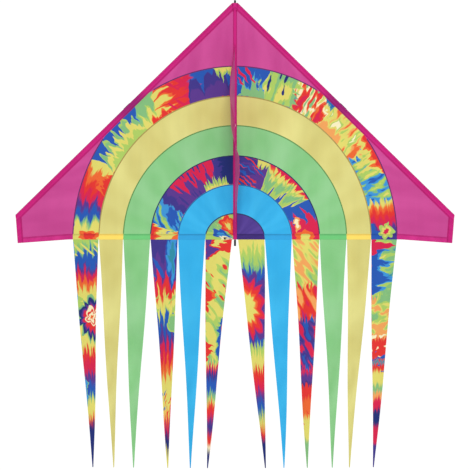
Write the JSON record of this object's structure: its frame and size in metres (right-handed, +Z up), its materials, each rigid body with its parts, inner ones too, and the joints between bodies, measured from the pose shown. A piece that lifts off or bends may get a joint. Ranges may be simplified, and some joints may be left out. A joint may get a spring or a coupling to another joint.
{
  "type": "delta kite",
  "caption": "Triangular fabric delta kite with arched rainbow panels, a triangular keel with a tow eyelet, rod frame and long tapering streamer tails.",
  "frame": {"origin": "centre of the tow eyelet at the point of the keel", "axes": "+Z up along the spine to the nose, +X to the right wing tip along the eyelet's hole, -Y from the sail to the keel's point"},
  "size_m": [1.4226, 0.3074, 1.5048],
  "materials": {
    "magenta_cloth": "satin",
    "pink_sleeve_cloth": "satin",
    "tie_dye_cloth": "satin",
    "yellow_cloth": "satin",
    "green_cloth": "satin",
    "sky_blue_cloth": "satin",
    "purple_cloth": "satin",
    "hem_cloth": "satin",
    "fibreglass": "satin",
    "black_vinyl": "satin",
    "black_nylon": "matte",
    "nickel_eyelet": "satin"
  },
  "bodies": {
    "spine": {"spine_rod": "fibreglass", "spine_sleeve": "pink_sleeve_cloth", "nose_cap": "black_vinyl", "spine_end_cap": "black_vinyl"},
    "keel": {"keel_fin": "magenta_cloth", "keel_hem": "pink_sleeve_cloth", "keel_patch": "pink_sleeve_cloth", "tow_eyelet": "nickel_eyelet"},
    "wing_left": {"nose_panel_left": "magenta_cloth", "tip_panel_left": "magenta_cloth", "outer_dye_band_left": "tie_dye_cloth", "yellow_band_left": "yellow_cloth", "green_band_left": "green_cloth", "inner_dye_band_left": "tie_dye_cloth", "blue_band_left": "sky_blue_cloth", "centre_panel_left": "tie_dye_cloth", "leading_edge_sleeve_left": "pink_sleeve_cloth", "tip_hem_left": "pink_sleeve_cloth", "trailing_hem_left": "hem_cloth", "leading_edge_spar_left": "fibreglass", "spar_nose_cap_left": "black_vinyl", "spar_tip_cap_left": "black_vinyl", "spar_fitting_left": "black_nylon"},
    "wing_right": {"nose_panel_right": "magenta_cloth", "tip_panel_right": "magenta_cloth", "outer_dye_band_right": "tie_dye_cloth", "yellow_band_right": "yellow_cloth", "green_band_right": "green_cloth", "inner_dye_band_right": "tie_dye_cloth", "blue_band_right": "sky_blue_cloth", "centre_panel_right": "purple_cloth", "leading_edge_sleeve_right": "pink_sleeve_cloth", "tip_hem_right": "pink_sleeve_cloth", "trailing_hem_right": "hem_cloth", "leading_edge_spar_right": "fibreglass", "spar_nose_cap_right": "black_vinyl", "spar_tip_cap_right": "black_vinyl", "spar_fitting_right": "black_nylon"},
    "spreader": {"spreader_rod": "fibreglass", "spreader_socket": "black_vinyl"},
    "centre_tail_left": {"centre_tail_left": "tie_dye_cloth"},
    "blue_tail_left": {"blue_tail_left": "sky_blue_cloth"},
    "inner_dye_tail_left": {"inner_dye_tail_left": "tie_dye_cloth"},
    "green_tail_left": {"green_tail_left": "green_cloth"},
    "yellow_tail_left": {"yellow_tail_left": "yellow_cloth"},
    "outer_dye_tail_left": {"outer_dye_tail_left": "tie_dye_cloth"},
    "centre_tail_right": {"centre_tail_right": "tie_dye_cloth"},
    "blue_tail_right": {"blue_tail_right": "sky_blue_cloth"},
    "inner_dye_tail_right": {"inner_dye_tail_right": "tie_dye_cloth"},
    "green_tail_right": {"green_tail_right": "green_cloth"},
    "yellow_tail_right": {"yellow_tail_right": "yellow_cloth"},
    "outer_dye_tail_right": {"outer_dye_tail_right": "tie_dye_cloth"}
  },
  "joints": [
    {"name": "wing_left_fold", "type": "hinge", "parent": "spine", "child": "wing_left", "pos_m": [0, 0.19, 0], "axis": [0, 0, 1], "range_deg": [0, 78]},
    {"name": "wing_right_fold", "type": "hinge", "parent": "spine", "child": "wing_right", "pos_m": [0, 0.19, 0], "axis": [0, 0, 1], "range_deg": [-78, 0]},
    {"name": "keel_swing", "type": "hinge", "parent": "spine", "child": "keel", "pos_m": [0, 0.19, 0], "axis": [0, 0, 1], "range_deg": [-80, 80]},
    {"name": "spreader_pivot", "type": "hinge", "parent": "wing_left", "child": "spreader", "pos_m": [-0.34185, 0.25016, 0.0618], "axis": [-0.1392, -0.9903, 0], "range_deg": [0, 44]},
    {"name": "centre_tail_left_swing", "type": "hinge", "parent": "wing_left", "child": "centre_tail_left", "pos_m": [0, 0.19, -0.3617], "axis": [0.9903, -0.1392, 0], "range_deg": [-80, 80]},
    {"name": "blue_tail_left_swing", "type": "hinge", "parent": "wing_left", "child": "blue_tail_left", "pos_m": [0, 0.19, -0.3617], "axis": [0.9903, -0.1392, 0], "range_deg": [-80, 80]},
    {"name": "inner_dye_tail_left_swing", "type": "hinge", "parent": "wing_left", "child": "inner_dye_tail_left", "pos_m": [0, 0.19, -0.3617], "axis": [0.9903, -0.1392, 0], "range_deg": [-80, 80]},
    {"name": "green_tail_left_swing", "type": "hinge", "parent": "wing_left", "child": "green_tail_left", "pos_m": [0, 0.19, -0.3617], "axis": [0.9903, -0.1392, 0], "range_deg": [-80, 80]},
    {"name": "yellow_tail_left_swing", "type": "hinge", "parent": "wing_left", "child": "yellow_tail_left", "pos_m": [0, 0.19, -0.3617], "axis": [0.9903, -0.1392, 0], "range_deg": [-80, 80]},
    {"name": "outer_dye_tail_left_swing", "type": "hinge", "parent": "wing_left", "child": "outer_dye_tail_left", "pos_m": [0, 0.19, -0.3617], "axis": [0.9903, -0.1392, 0], "range_deg": [-80, 80]},
    {"name": "centre_tail_right_swing", "type": "hinge", "parent": "wing_right", "child": "centre_tail_right", "pos_m": [0, 0.19, -0.3617], "axis": [-0.9903, -0.1392, 0], "range_deg": [-80, 80]},
    {"name": "blue_tail_right_swing", "type": "hinge", "parent": "wing_right", "child": "blue_tail_right", "pos_m": [0, 0.19, -0.3617], "axis": [-0.9903, -0.1392, 0], "range_deg": [-80, 80]},
    {"name": "inner_dye_tail_right_swing", "type": "hinge", "parent": "wing_right", "child": "inner_dye_tail_right", "pos_m": [0, 0.19, -0.3617], "axis": [-0.9903, -0.1392, 0], "range_deg": [-80, 80]},
    {"name": "green_tail_right_swing", "type": "hinge", "parent": "wing_right", "child": "green_tail_right", "pos_m": [0, 0.19, -0.3617], "axis": [-0.9903, -0.1392, 0], "range_deg": [-80, 80]},
    {"name": "yellow_tail_right_swing", "type": "hinge", "parent": "wing_right", "child": "yellow_tail_right", "pos_m": [0, 0.19, -0.3617], "axis": [-0.9903, -0.1392, 0], "range_deg": [-80, 80]},
    {"name": "outer_dye_tail_right_swing", "type": "hinge", "parent": "wing_right", "child": "outer_dye_tail_right", "pos_m": [0, 0.19, -0.3617], "axis": [-0.9903, -0.1392, 0], "range_deg": [-80, 80]}
  ]
}
